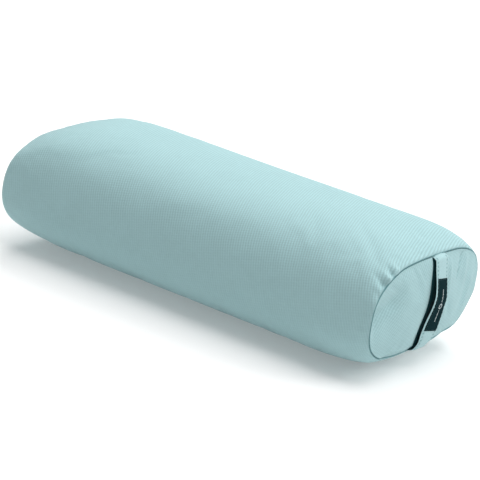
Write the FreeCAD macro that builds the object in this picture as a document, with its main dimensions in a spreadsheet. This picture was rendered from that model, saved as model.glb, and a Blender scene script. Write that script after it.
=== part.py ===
import FreeCAD, Part
import Sketcher
import os

# Bolster pillow with a removable zipped cover and a carry handle on one end.
# Axes: +X toward the handle end, +Y toward the zip, +Z up. The pillow stands on z = 0.

V = FreeCAD.Vector
C = Sketcher.Constraint
doc = FreeCAD.newDocument("BolsterPillow")

# ---------------------------------------------------------------- sizes, mm
SIZES = {
    "body_width": 305, "body_oval_height": 186, "body_oval_centre": 87,
    "seam_width": 295, "seam_height": 132, "seam_centre": 90.7,
    "side_share": 0.43,
    "half_length": 302.2, "taper_length": 120,
    "panel_thickness": 0.9, "end_panel_thickness": 1.2,
    "dome_start": 302.6, "dome_bulge": 10, "dome_inset": 0.4, "dome_wall": 0.8,
    "allowance_inset": 1.5, "allowance_thickness": 1.0, "allowance_width": 12,
    "liner_inset": 4.6, "liner_thickness": 0.6, "filling_half_length": 288,
    "liner_cap_start": 288.6, "liner_cap_end": 296.6, "liner_cap_inset": 3.2,
    "batting_inset": 5.8, "batting_thickness": 12, "core_inset": 18.4,
    "pad_inset": 4.4, "pad_start": 289.2, "pad_end": 295.4,
    "strap_width": 32, "strap_thickness": 2, "strap_apex": 322.1, "strap_bend_height": 102.5,
    "strap_bend_round": 9, "strap_slope_up": 0.245, "strap_slope_down": 0.2,
    "strap_low": 27, "strap_grip_low": 36, "strap_grip_high": 146, "strap_high": 153.5,
    "strap_gap": 0.5, "strap_side": 6,
    "backing_clearance": 0.4, "backing_thickness": 0.8, "backing_reach": 61,
    "tail_start": 289, "tail_end": 300.4, "tail_thickness": 1.6, "tail_offset": 65.1,
    "stitch_inset": 2.6, "stitch_width": 0.9, "stitch_thickness": 0.4,
    "label_width": 25, "label_thickness": 0.7, "label_low": 55, "label_high": 128,
    "motif_width": 6, "motif_margin": 12, "motif_thickness": 0.25,
    "label_stitch_margin": 1.2, "label_stitch_width": 0.7, "label_stitch_thickness": 0.3,
    "fit_gap": 0.1,
    "zip_height": 90, "zip_half_length": 240, "zip_slot_height": 10,
    "tape_face": 148.6, "tape_thickness": 0.7, "tape_height": 12, "tape_split": 0.6,
    "coil_face": 149.6, "coil_thickness": 1.8, "coil_height": 2,
    "stop_length": 3, "stop_height": 5.2, "stop_gap": 0.5,
    "slider_x": 232, "slider_length": 9, "slider_plate_face": 152.1, "slider_plate": 1.3,
    "slider_half_height": 3.8, "slider_lip": 1, "slider_lip_face": 149.8,
    "arch_half_length": 3, "arch_wall": 0.9, "arch_rise": 3.3, "arch_width": 2,
    "pin_radius": 0.6, "pin_y": 154.7, "pull_window_start": 1,
    "pull_length": 26, "pull_height": 6, "pull_thickness": 1.2,
    "pull_window_length": 5, "pull_window_height": 3.6,
}
sheet = doc.addObject("Spreadsheet::Sheet", "Sizes")
for row, (alias, value) in enumerate(SIZES.items(), start=1):
    sheet.set(f"A{row}", alias)
    sheet.set(f"B{row}", str(value))
    sheet.setAlias(f"B{row}", alias)

# Formula sheet: one row for each outline that the lofts run through.
outlines = doc.addObject("Spreadsheet::Sheet", "Outlines")
outline_rows = 0
doc.recompute()

# Shares of the taper at which outlines are set, from the seam to the full section.
TAPER_STATIONS = (0.0, 0.03, 0.12, 0.32, 0.62, 1.0)
# Sizes of the dome's outlines, as shares of the seam outline.
DOME_STATIONS = (1.0, 0.94, 0.84, 0.7, 0.5, 0.25)
# How the dome rises from the seam: 1 is a parabola, more is softer at the seam.
DOME_POWER = 1.4
# Steps of the backing tape's profile from its middle to each end.
BACKING_STEPS = 7


def s(alias):
    return f"Sizes.{alias}"


def evaluate(expression):
    """The present value of an expression over the Sizes sheet."""
    result = sheet.evalExpression(expression.replace("Sizes.", ""))
    return float(getattr(result, "Value", result))


def outline_row(name, width, height):
    """Writes a four-centre oval's radii and corner point as formulas; returns their names."""
    global outline_rows
    outline_rows += 1
    half_width, half_height = f"{name}_half_width", f"{name}_half_height"
    side, offset, crown = f"{name}_side_radius", f"{name}_offset", f"{name}_crown_radius"
    formulas = {
        half_width: f"({width}) / 2",
        half_height: f"({height}) / 2",
        side: f"2 * {half_height} * {s('side_share')}",
        offset: f"{half_width} - {side}",
        crown: f"({offset} ^ 2 + {half_height} ^ 2 - {side} ^ 2) / (2 * ({half_height} - {side}))",
        f"{name}_corner_y": f"{offset} * {crown} / ({crown} - {side})",
        f"{name}_corner_z": f"{side} * ({crown} - {half_height}) / ({crown} - {side})",
    }
    for column, (alias, formula) in zip("ABCDEFG", formulas.items()):
        outlines.set(f"{column}{outline_rows}", "=" + formula)
        outlines.setAlias(f"{column}{outline_rows}", alias)


def oval_sketch(name, x, centre, width, height):
    """A four-centre oval across the pillow at distance x; x, centre and sizes are expressions."""
    outline_row(name, width, height)
    a, b = evaluate(width) / 2, evaluate(height) / 2
    r = 2 * b * SIZES["side_share"]
    c = a - r
    crown = (c ** 2 + b ** 2 - r ** 2) / (2 * (b - r))
    py = c * crown / (crown - r)
    pz = r * (crown - b) / (crown - r)
    sketch = doc.addObject("Sketcher::SketchObject", name)
    corners = [V(py, -pz, 0), V(py, pz, 0), V(-py, pz, 0), V(-py, -pz, 0)]
    middles = [V(a, 0, 0), V(0, b, 0), V(-a, 0, 0), V(0, -b, 0)]
    arcs = [Part.Arc(corners[i], middles[i], corners[(i + 1) % 4]) for i in range(4)]
    sketch.addGeometry(arcs, False)
    right, top, left, bottom = range(4)
    sketch.addConstraint([C("Coincident", i, 2, (i + 1) % 4, 1) for i in range(4)])
    sketch.addConstraint([
        C("Symmetric", top, 1, top, 2, -2), C("Symmetric", bottom, 1, bottom, 2, -2),
        C("Symmetric", right, 1, right, 2, -1),
        C("Equal", right, left), C("Equal", top, bottom),
    ])
    for label, kind, target, amount in (
        ("side_radius", "Radius", (right,), r),
        ("crown_radius", "Radius", (top,), crown),
        ("corner_y", "DistanceX", (-1, 1, top, 1), py),
        ("corner_z", "DistanceY", (-1, 1, top, 1), pz),
    ):
        index = sketch.addConstraint(C(kind, *target, amount))
        sketch.renameConstraint(index, label)
        sketch.setExpression(f"Constraints.{label}", f"Outlines.{name}_{label}")
    turn = FreeCAD.Rotation(V(0, 1, 0), V(0, 0, 1), V(1, 0, 0), "ZXY")
    sketch.Placement = FreeCAD.Placement(V(0, 0, 0), turn)
    sketch.setExpression("Placement.Base.x", x)
    sketch.setExpression("Placement.Base.z", centre)
    return sketch


def loft(name, sketches, ruled):
    shape = doc.addObject("Part::Loft", name)
    shape.Sections = sketches
    shape.Solid = True
    shape.Ruled = ruled
    return shape


def box(name, x, y, z, length, width, height):
    """A box from expressions for its low corner and its sizes along X, Y and Z."""
    shape = doc.addObject("Part::Box", name)
    for path, expression in (
        ("Length", length), ("Width", width), ("Height", height),
        ("Placement.Base.x", x), ("Placement.Base.y", y), ("Placement.Base.z", z),
    ):
        shape.setExpression(path, expression)
    return shape


def combine(kind, name, base, tool):
    shape = doc.addObject(f"Part::{kind}", name)
    shape.Base = base
    shape.Tool = tool
    return shape


def mirrored(name, source):
    shape = doc.addObject("Part::Mirroring", name)
    shape.Source = source
    shape.Normal = V(1, 0, 0)
    shape.Base = V(0, 0, 0)
    return shape


def filled_body(name, inset, half_length):
    """The pillow's tapered oval body, shrunk by inset and cut flat under its middle."""
    sections = []
    for end, order in ((-1, TAPER_STATIONS), (1, tuple(reversed(TAPER_STATIONS)))):
        for number, share in enumerate(order):
            full = f"sqrt(1 - (1 - {share}) ^ 2)"
            width = f"{s('seam_width')} + ({s('body_width')} - {s('seam_width')}) * {full} - 2 * {inset}"
            height = (
                f"{s('seam_height')} + ({s('body_oval_height')} - {s('seam_height')}) * {full} - 2 * {inset}"
            )
            centre = f"{s('seam_centre')} + ({s('body_oval_centre')} - {s('seam_centre')}) * {full}"
            x = f"{end} * ({half_length} - {share} * {s('taper_length')})"
            side = "near" if end > 0 else "far"
            sections.append(oval_sketch(f"{name}_{side}_{number}", x, centre, width, height))
    skin = loft(f"{name}_loft", sections, False)
    floor = box(
        f"{name}_room", f"-{s('half_length')} * 2", f"-{s('body_width')}", inset,
        f"{s('half_length')} * 4", f"{s('body_width')} * 2", f"{s('body_oval_height')} * 2",
    )
    return combine("Common", name, skin, floor)


def domed_disc(name, inset, start, wall, bulge):
    """A disc with the seam's outline: a straight wall from start, then a low dome."""
    sections = []
    for number, share in enumerate((1.0,) + DOME_STATIONS):
        width = f"({s('seam_width')} - 2 * {inset}) * {share}"
        height = f"({s('seam_height')} - 2 * {inset}) * {share}"
        rise = f"{wall} + {bulge} * (1 - {share} ^ 2) ^ {DOME_POWER}"
        x = start if number == 0 else f"{start} + {rise}"
        sections.append(oval_sketch(f"{name}_{number}", x, s("seam_centre"), width, height))
    return loft(name, sections, True)


def ring(name, inset, thickness, start, length):
    """A straight ring with the seam's outline."""
    shapes = []
    for part, extra, reach in (("outer", "0", "0"), ("inner", thickness, "1")):
        width = f"{s('seam_width')} - 2 * ({inset} + {extra})"
        height = f"{s('seam_height')} - 2 * ({inset} + {extra})"
        ends = (f"{start} - {reach}", f"{start} + {length} + {reach}")
        sections = [
            oval_sketch(f"{name}_{part}_{i}", x, s("seam_centre"), width, height)
            for i, x in enumerate(ends)
        ]
        shapes.append(loft(f"{name}_{part}", sections, True))
    return combine("Cut", name, *shapes)


def origin_plane(body, role):
    return next(o for o in body.Origin.OriginFeatures if o.Role == role)


def new_body(name):
    return doc.addObject("PartDesign::Body", name)


def polygon_sketch(body, name, role, points):
    """A closed polygon in a body; each point is a pair of expressions, held from the origin."""
    sketch = body.newObject("Sketcher::SketchObject", name)
    sketch.AttachmentSupport = [(origin_plane(body, role), "")]
    sketch.MapMode = "FlatFace"
    flat = [V(evaluate(u), evaluate(v), 0) for u, v in points]
    count = len(flat)
    for i in range(count):
        sketch.addGeometry(Part.LineSegment(flat[i], flat[(i + 1) % count]), False)
    sketch.addConstraint([C("Coincident", i, 2, (i + 1) % count, 1) for i in range(count)])
    for i, (u, v) in enumerate(points):
        for kind, tag, expression, amount in (
            ("DistanceX", "x", u, flat[i].x), ("DistanceY", "y", v, flat[i].y),
        ):
            index = sketch.addConstraint(C(kind, -1, 1, i, 1, amount))
            sketch.renameConstraint(index, f"{tag}{i}")
            sketch.setExpression(f"Constraints.{tag}{i}", expression)
    return sketch


def pad(body, name, sketch, length, midplane=False, reverse=False):
    feature = body.newObject("PartDesign::Pad", name)
    feature.Profile = sketch
    feature.setExpression("Length", length)
    feature.Midplane = midplane
    feature.Reversed = reverse
    body.Tip = feature
    sketch.Visibility = False
    return feature


def strap_x(z, offset):
    """The strap's distance along X at height z: two slopes that meet in a rounded bend."""
    mean = f"({s('strap_slope_up')} + {s('strap_slope_down')}) / 2"
    tilt = f"({s('strap_slope_up')} - {s('strap_slope_down')}) / 2"
    away = f"({z} - {s('strap_bend_height')})"
    return (
        f"{s('strap_apex')} - {mean} * sqrt({away} ^ 2 + {s('strap_bend_round')} ^ 2)"
        f" - {tilt} * {away} + {offset}"
    )


def band_body(name, profile, width, middle):
    """A body as wide as width, centred at middle along Y, with the given profile in the XZ plane."""
    body = new_body(name)
    sketch = polygon_sketch(body, f"{name}_profile", "XZ_Plane", profile)
    pad(body, f"{name}_pad", sketch, width, midplane=True)
    body.setExpression("Placement.Base.y", middle)
    return body


def strap_band(name, width, low, high, offset, thickness, steps=24, aside="0"):
    """A band that follows the strap between two heights, offset out from its inner face."""
    heights = [f"({low} + ({high} - {low}) * {i} / {steps})" for i in range(steps + 1)]
    inner = [(strap_x(z, offset), z) for z in heights]
    outer = [(strap_x(z, f"{offset} + {thickness}"), z) for z in reversed(heights)]
    return band_body(name, inner + outer, width, f"{s('strap_side')} + {aside}")


nodes = {}

# ---------------------------------------------------------------- cover
outer = filled_body("cover_outside", "0", s("half_length"))
inner = filled_body("cover_inside", s("panel_thickness"), s("half_length"))
tube = combine("Cut", "cover_tube", outer, inner)
slot = box(
    "zip_slot", f"-{s('zip_half_length')}", f"{s('body_width')} / 2 - 20",
    f"{s('zip_height')} - {s('zip_slot_height')} / 2",
    f"2 * {s('zip_half_length')}", "40", s("zip_slot_height"),
)
nodes["body_panel"] = combine("Cut", "body_panel", tube, slot)


def end_shell(name, inset, start, wall, bulge, thickness):
    outside = domed_disc(f"{name}_outside", inset, start, wall, bulge)
    inside = domed_disc(
        f"{name}_inside", f"({inset} + {thickness})", f"({start} - {thickness})", wall, bulge
    )
    return combine("Cut", name, outside, inside)


panel = end_shell(
    "handle_end_panel", s("dome_inset"), s("dome_start"), s("dome_wall"), s("dome_bulge"),
    s("end_panel_thickness"),
)
nodes["handle_end_panel"] = panel
nodes["plain_end_panel"] = mirrored("plain_end_panel", panel)
allowance = ring(
    "handle_end_seam_allowance", s("allowance_inset"), s("allowance_thickness"),
    f"({s('half_length')} - {s('allowance_width')})", s("allowance_width"),
)
nodes["handle_end_seam_allowance"] = allowance
nodes["plain_end_seam_allowance"] = mirrored("plain_end_seam_allowance", allowance)

# ---------------------------------------------------------------- filling
liner_outer = filled_body("liner_outside", s("liner_inset"), s("filling_half_length"))
liner_inner = filled_body(
    "liner_inside", f"({s('liner_inset')} + {s('liner_thickness')})", s("filling_half_length")
)
nodes["liner_tube"] = combine("Cut", "liner_tube", liner_outer, liner_inner)
cap_wall = f"({s('liner_cap_end')} - {s('liner_cap_start')})"
cap = end_shell(
    "liner_handle_end", s("liner_cap_inset"), s("liner_cap_start"), cap_wall, s("dome_bulge"),
    s("liner_thickness"),
)
nodes["liner_handle_end"] = cap
nodes["liner_plain_end"] = mirrored("liner_plain_end", cap)
batting_outer = filled_body("batting_outside", s("batting_inset"), s("filling_half_length"))
batting_inner = filled_body(
    "batting_inside", f"({s('batting_inset')} + {s('batting_thickness')})", s("filling_half_length")
)
nodes["batting_wrap"] = combine("Cut", "batting_wrap", batting_outer, batting_inner)
pad_wall = f"({s('pad_end')} - {s('pad_start')})"
end_pad = domed_disc("batting_handle_end", s("pad_inset"), s("pad_start"), pad_wall, s("dome_bulge"))
nodes["batting_handle_end"] = end_pad
nodes["batting_plain_end"] = mirrored("batting_plain_end", end_pad)
nodes["foam_core"] = filled_body("foam_core", s("core_inset"), s("filling_half_length"))

# ---------------------------------------------------------------- carry handle
nodes["handle_top_root"] = strap_band(
    "handle_top_root", s("strap_width"), f"({s('strap_grip_high')} + {s('strap_gap')})",
    s("strap_high"), "0", s("strap_thickness"), steps=2,
)
nodes["handle_bottom_root"] = strap_band(
    "handle_bottom_root", s("strap_width"), s("strap_low"),
    f"({s('strap_grip_low')} - {s('strap_gap')})", "0", s("strap_thickness"), steps=2,
)
nodes["handle_grip"] = strap_band(
    "handle_grip", s("strap_width"), s("strap_grip_low"), s("strap_grip_high"), "0",
    s("strap_thickness"), steps=32,
)
backing_heights = [
    f"({s('backing_reach')} * {i} / {BACKING_STEPS})" for i in range(-BACKING_STEPS, BACKING_STEPS + 1)
]


def backing_x(away, extra):
    """Distance along X of the backing tape at a height away from the dome's middle."""
    share = f"({away} * 2 / {s('seam_height')})"
    bulge = f"{s('dome_bulge')} * (1 - {share} ^ 2) ^ {DOME_POWER}"
    dome = f"{s('dome_start')} + {s('dome_wall')} + {bulge}"
    return f"{dome} + {s('backing_clearance')} + {extra}"


backing = [(backing_x(away, "0"), f"{s('seam_centre')} + {away}") for away in backing_heights]
backing += [
    (backing_x(away, s("backing_thickness")), f"{s('seam_centre')} + {away}")
    for away in reversed(backing_heights)
]
nodes["handle_backing"] = band_body("handle_backing", backing, s("strap_width"), s("strap_side"))
stitch_y = f"({s('strap_width')} / 2 - {s('stitch_inset')})"
on_strap = f"({s('strap_thickness')} + {s('fit_gap')})"
for side, sign in (("left", "-1"), ("right", "1")):
    nodes[f"handle_topstitch_{side}"] = strap_band(
        f"handle_topstitch_{side}", s("stitch_width"), f"({s('strap_grip_low')} + 1)",
        f"({s('strap_grip_high')} - 1)", on_strap, s("stitch_thickness"), steps=32,
        aside=f"{sign} * {stitch_y}",
    )
nodes["woven_label"] = strap_band(
    "woven_label", s("label_width"), s("label_low"), s("label_high"), on_strap,
    s("label_thickness"),
)
on_label = f"({on_strap} + {s('label_thickness')} + {s('fit_gap')})"
nodes["label_motif"] = strap_band(
    "label_motif", s("motif_width"), f"({s('label_low')} + {s('motif_margin')})",
    f"({s('label_high')} - {s('motif_margin')})", on_label, s("motif_thickness"),
)
margin, thread = s("label_stitch_margin"), s("label_stitch_width")
frame_outer = strap_band(
    "label_stitch_outside", f"{s('label_width')} - 2 * {margin}", f"({s('label_low')} + {margin})",
    f"({s('label_high')} - {margin})", on_label, s("label_stitch_thickness"),
)
frame_inner = strap_band(
    "label_stitch_inside", f"{s('label_width')} - 2 * ({margin} + {thread})",
    f"({s('label_low')} + {margin} + {thread})", f"({s('label_high')} - {margin} - {thread})",
    f"({on_label} - 1)", f"({s('label_stitch_thickness')} + 2)",
)
nodes["label_stitching"] = combine("Cut", "label_stitching", frame_outer, frame_inner)
for side, low in (
    ("top", f"{s('seam_centre')} + {s('tail_offset')}"),
    ("bottom", f"{s('seam_centre')} - {s('tail_offset')} - {s('tail_thickness')}"),
):
    nodes[f"handle_{side}_tail"] = box(
        f"handle_{side}_tail", s("tail_start"), f"{s('strap_side')} - {s('strap_width')} / 2", low,
        f"{s('tail_end')} - {s('tail_start')}", s("strap_width"), s("tail_thickness"),
    )

# ---------------------------------------------------------------- zip
zip_start = f"-{s('zip_half_length')} - 4"
zip_run = f"2 * {s('zip_half_length')} + 8"
for side, tape_low, coil_low in (
    ("upper", f"{s('zip_height')} + {s('tape_split')} / 2", f"{s('zip_height')} + {s('tape_split')} / 2"),
    (
        "lower", f"{s('zip_height')} - {s('tape_split')} / 2 - {s('tape_height')}",
        f"{s('zip_height')} - {s('tape_split')} / 2 - {s('coil_height')}",
    ),
):
    nodes[f"zip_tape_{side}"] = box(
        f"zip_tape_{side}", zip_start, s("tape_face"), tape_low, zip_run, s("tape_thickness"),
        s("tape_height"),
    )
    nodes[f"zip_coil_{side}"] = box(
        f"zip_coil_{side}", f"-{s('zip_half_length')} + 6", s("coil_face"), coil_low,
        f"2 * {s('zip_half_length')} - 12", s("coil_thickness"), s("coil_height"),
    )
for name, low in (
    ("zip_top_stop", f"{s('zip_half_length')} - 6 + {s('stop_gap')}"),
    ("zip_bottom_stop", f"-{s('zip_half_length')} + 6 - {s('stop_gap')} - {s('stop_length')}"),
):
    nodes[name] = box(
        name, low, s("coil_face"), f"{s('zip_height')} - {s('stop_height')} / 2",
        s("stop_length"), s("coil_thickness"), s("stop_height"),
    )

# The slider: a plate with two lips down the sides of the coil, and an arch that holds the pull.
slider = new_body("zip_slider")
half, lip = s("slider_half_height"), s("slider_lip")
plate_low = s("slider_plate_face")
plate_high = f"{s('slider_plate_face')} + {s('slider_plate')}"
lip_low = s("slider_lip_face")
up, down = f"{s('zip_height')} + {half}", f"{s('zip_height')} - {half}"
profile = polygon_sketch(slider, "zip_slider_section", "YZ_Plane", [
    (plate_high, down), (plate_high, up), (lip_low, up), (lip_low, f"{up} - {lip}"),
    (plate_low, f"{up} - {lip}"), (plate_low, f"{down} + {lip}"), (lip_low, f"{down} + {lip}"),
    (lip_low, down),
])
pad(slider, "zip_slider_plate", profile, s("slider_length"), midplane=True)
reach, wall, rise = s("arch_half_length"), s("arch_wall"), s("arch_rise")
arch = polygon_sketch(slider, "zip_slider_arch_side", "XY_Plane", [
    (f"-{reach}", f"{plate_high} - 0.2"), (f"-{reach}", f"{plate_high} + {rise}"),
    (reach, f"{plate_high} + {rise}"), (reach, f"{plate_high} - 0.2"),
    (f"{reach} - {wall}", f"{plate_high} - 0.2"), (f"{reach} - {wall}", f"{plate_high} + {rise} - {wall}"),
    (f"-({reach} - {wall})", f"{plate_high} + {rise} - {wall}"),
    (f"-({reach} - {wall})", f"{plate_high} - 0.2"),
])
arch.AttachmentOffset = FreeCAD.Placement(V(0, 0, 0), FreeCAD.Rotation())
arch.setExpression("AttachmentOffset.Base.z", s("zip_height"))
pad(slider, "zip_slider_arch", arch, s("arch_width"), midplane=True)
slider.setExpression("Placement.Base.x", s("slider_x"))
nodes["zip_slider"] = slider

# The pull: a tab with a window round the arch, and a pin across the window under the arch.
pull = new_body("zip_pull")
pin = s("pin_radius")
tab_low = f"{s('zip_height')} - {s('pull_height')} / 2"
tab_high = f"{s('zip_height')} + {s('pull_height')} / 2"
window_low = f"{s('zip_height')} - {s('pull_window_height')} / 2"
window_high = f"{s('zip_height')} + {s('pull_window_height')} / 2"
face = polygon_sketch(pull, "zip_pull_outline", "XZ_Plane", [
    ("0", tab_low), ("0", tab_high), (f"-{s('pull_length')}", f"{tab_high} - 1"),
    (f"-{s('pull_length')}", f"{tab_low} + 1"),
])
pad(pull, "zip_pull_tab", face, s("pull_thickness"), midplane=True)
hole = polygon_sketch(pull, "zip_pull_window_outline", "XZ_Plane", [
    (s("pull_window_start"), window_low), (s("pull_window_start"), window_high),
    (f"-{s('pull_window_length')}", window_high), (f"-{s('pull_window_length')}", window_low),
])
window = pull.newObject("PartDesign::Pocket", "zip_pull_window")
window.Profile = hole
window.setExpression("Length", f"{s('pull_thickness')} * 3")
window.Midplane = True
pull.Tip = window
circle = pull.newObject("Sketcher::SketchObject", "zip_pull_pin_circle")
circle.AttachmentSupport = [(origin_plane(pull, "XY_Plane"), "")]
circle.MapMode = "FlatFace"
circle.setExpression("AttachmentOffset.Base.z", s("zip_height"))
circle.addGeometry(Part.Circle(V(0, 0, 0), V(0, 0, 1), SIZES["pin_radius"]), False)
circle.addConstraint(C("Coincident", 0, 3, -1, 1))
circle.renameConstraint(circle.addConstraint(C("Radius", 0, SIZES["pin_radius"])), "pin_radius")
circle.setExpression("Constraints.pin_radius", s("pin_radius"))
pad(pull, "zip_pull_pin", circle, s("pull_height"), midplane=True)
pull.setExpression("Placement.Base.x", s("slider_x"))
pull.setExpression("Placement.Base.y", s("pin_y"))
nodes["zip_pull"] = pull

# ---------------------------------------------------------------- write
doc.recompute()
for item in doc.Objects:
    if "Invalid" in item.State or "Error" in item.State:
        raise RuntimeError(f"{item.Name} did not compute: {item.State}")
os.makedirs("parts", exist_ok=True)
for name, item in nodes.items():
    if item.Shape.isNull() or not item.Shape.isValid():
        raise RuntimeError(f"{name} has no valid shape")
    item.Label = name
    item.Shape.exportStep(f"parts/{name}.step")
    bounds = item.Shape.BoundBox
    print(f"{name:28s} solids {len(item.Shape.Solids)} volume {item.Shape.Volume / 1000:9.3f} cm3", bounds)
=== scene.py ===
"""Bolster pillow: a filled canvas cover with a carry strap on one end and a zip along its back."""
import math
import bpy
import bmesh
import numpy as np
from mathutils import Matrix, Vector


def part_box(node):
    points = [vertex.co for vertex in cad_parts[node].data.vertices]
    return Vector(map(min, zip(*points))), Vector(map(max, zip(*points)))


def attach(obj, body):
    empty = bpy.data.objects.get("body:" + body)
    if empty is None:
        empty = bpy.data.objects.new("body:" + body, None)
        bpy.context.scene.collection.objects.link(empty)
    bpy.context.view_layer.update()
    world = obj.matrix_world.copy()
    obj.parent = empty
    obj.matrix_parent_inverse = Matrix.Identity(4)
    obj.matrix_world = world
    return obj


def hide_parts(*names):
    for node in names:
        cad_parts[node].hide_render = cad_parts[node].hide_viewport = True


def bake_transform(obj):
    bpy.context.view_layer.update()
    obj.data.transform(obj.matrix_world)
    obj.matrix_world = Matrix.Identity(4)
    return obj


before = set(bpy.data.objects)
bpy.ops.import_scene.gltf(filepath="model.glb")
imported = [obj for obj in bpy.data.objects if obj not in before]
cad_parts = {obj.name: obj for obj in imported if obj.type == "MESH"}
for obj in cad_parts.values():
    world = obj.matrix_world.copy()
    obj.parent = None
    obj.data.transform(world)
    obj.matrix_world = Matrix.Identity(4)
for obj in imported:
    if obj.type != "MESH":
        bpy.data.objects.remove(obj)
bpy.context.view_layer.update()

MM = 0.001
TURN = 2 * math.pi
SEED = 7
random = np.random.default_rng(SEED)

# ---- sizes from the frame
body_low, body_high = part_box("body_panel")
end_low, end_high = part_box("handle_end_panel")
grip_low, grip_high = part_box("handle_grip")
label_low, label_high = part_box("woven_label")
tape_low, tape_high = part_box("zip_tape_upper")

WIDTH = body_high.y - body_low.y
HEIGHT = body_high.z
CRUSH = 6 * MM  # height lost where the pillow's weight presses it flat
SEAM_X = end_low.x
SEAM_WIDTH = end_high.y - end_low.y + 0.8 * MM
SEAM_HEIGHT = end_high.z - end_low.z + 0.8 * MM
SEAM_Z = (end_high.z + end_low.z) / 2
DOME = end_high.x - end_low.x
TAPER = 120 * MM  # length over which the body swells from the seam
BODY_SQUARENESS = 2.47  # superellipse powers of the middle and of the seam
SEAM_SQUARENESS = 2.76
SEAM_TURN = -0.027  # how far the handle end's seam turns and leans
SEAM_LEAN = -0.019
SEAM_TUCK = 6.5 * MM  # how far the seam's lowest part is drawn in under the end panel
SEAM_DIP = 1.5 * MM  # how far its upper corner on the long front is drawn in
CHAMFER_SLOPE = 0.6  # the underside's rise toward each end
CHAMFER_HEIGHT = 20 * MM  # its height at CHAMFER_X
CHAMFER_X = 294 * MM
GROOVE = 0.4 * MM  # depth of the line that the seam thread pulls in
BELLY_TUCK = 0.30  # the part of the body's width that its lowest points lose
FAR_LEAN = 0.08  # how far the plain end's upper half leans in
ZIP_Z = (tape_low.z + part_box("zip_tape_lower")[1].z) / 2
ZIP_HALF = tape_high.x - 4 * MM
SLOT = 5 * MM  # half height of the zip's slot
COVER_CLOTH = 0.9 * MM  # thickness of the cover's canvas


# ---- small helpers
def smooth(t):
    t = np.clip(t, 0, 1)
    return t * t * (3 - 2 * t)


def bump(distance, width):
    return np.exp(-(distance / width) ** 2)


def unit(vectors):
    """The vectors at length 1."""
    return vectors / np.maximum(np.linalg.norm(vectors, axis=-1, keepdims=True), 1e-12)


def running_length(a, b):
    """The length of a line up to each of its points."""
    return np.concatenate([[0], np.cumsum(np.hypot(np.diff(a), np.diff(b)))])


def shortest_way(share):
    """A share of a closed outline, brought to between -0.5 and 0.5."""
    return (share + 0.5) % 1.0 - 0.5


def configure(target, **settings):
    for key, value in settings.items():
        setattr(target, key, value)


def round_angles(count):
    return np.linspace(0, TURN, count, endpoint=False)


def linked(name, data):
    """A new object in the scene."""
    obj = bpy.data.objects.new(name, data)
    bpy.context.collection.objects.link(obj)
    return obj


def new_object(name, vertices, faces, material=None, body=None, slot_name=None):
    mesh = bpy.data.meshes.new(name)
    mesh.from_pydata([tuple(v) for v in vertices], [], faces)
    mesh.validate()
    mesh.update()
    mesh.shade_smooth()
    obj = linked(name, mesh)
    if material:
        mesh.materials.append(material)
    if body:
        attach(obj, body)
    return obj


def dress(mesh, material):
    mesh.materials.clear()
    mesh.materials.append(material)


def grid_faces(rows, columns, closed=False, skip=None, flip=False):
    """Quads of a grid, closed round its columns or not; skip(row, column) leaves one out."""
    faces = []
    for i in range(rows - 1):
        for j in range(columns if closed else columns - 1):
            if skip and skip(i, j):
                continue
            k = (j + 1) % columns
            quad = (i * columns + j, i * columns + k, (i + 1) * columns + k, (i + 1) * columns + j)
            faces.append(quad[::-1] if flip else quad)
    return faces


def closed_faces(rows, columns, flip=False):
    """Faces of a grid closed round its columns, with its two ends filled in."""
    first, last = tuple(range(columns)), tuple(range((rows - 1) * columns, rows * columns))
    ends = [first, last[::-1]] if flip else [first[::-1], last]
    return grid_faces(rows, columns, closed=True, flip=flip) + ends


def store(obj, along, across, shade=0.0):
    """Keeps each vertex's place in the cloth, and its painted shade (a darkening where shade falls), for the
    materials to read.
    """
    values = np.stack(np.broadcast_arrays(along, across, shade), -1)
    attribute = obj.data.attributes.new("cloth", "FLOAT_VECTOR", "POINT")
    attribute.data.foreach_set("vector", np.asarray(values, np.float32).ravel())


def thicken(obj, thickness):
    """Gives a sheet its thickness, inward from its outer face."""
    obj.modifiers.new("thickness", "SOLIDIFY").thickness = thickness


def sheet(name, rows, thickness, material, slot_name, **layout):
    """A piece of cloth on the pillow from a grid of points; layout says how its faces run."""
    faces = grid_faces(rows.shape[0], rows.shape[1], **layout)
    obj = new_object(name, rows.reshape(-1, 3), faces, material, "pillow", slot_name)
    thicken(obj, thickness)
    return obj


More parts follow.
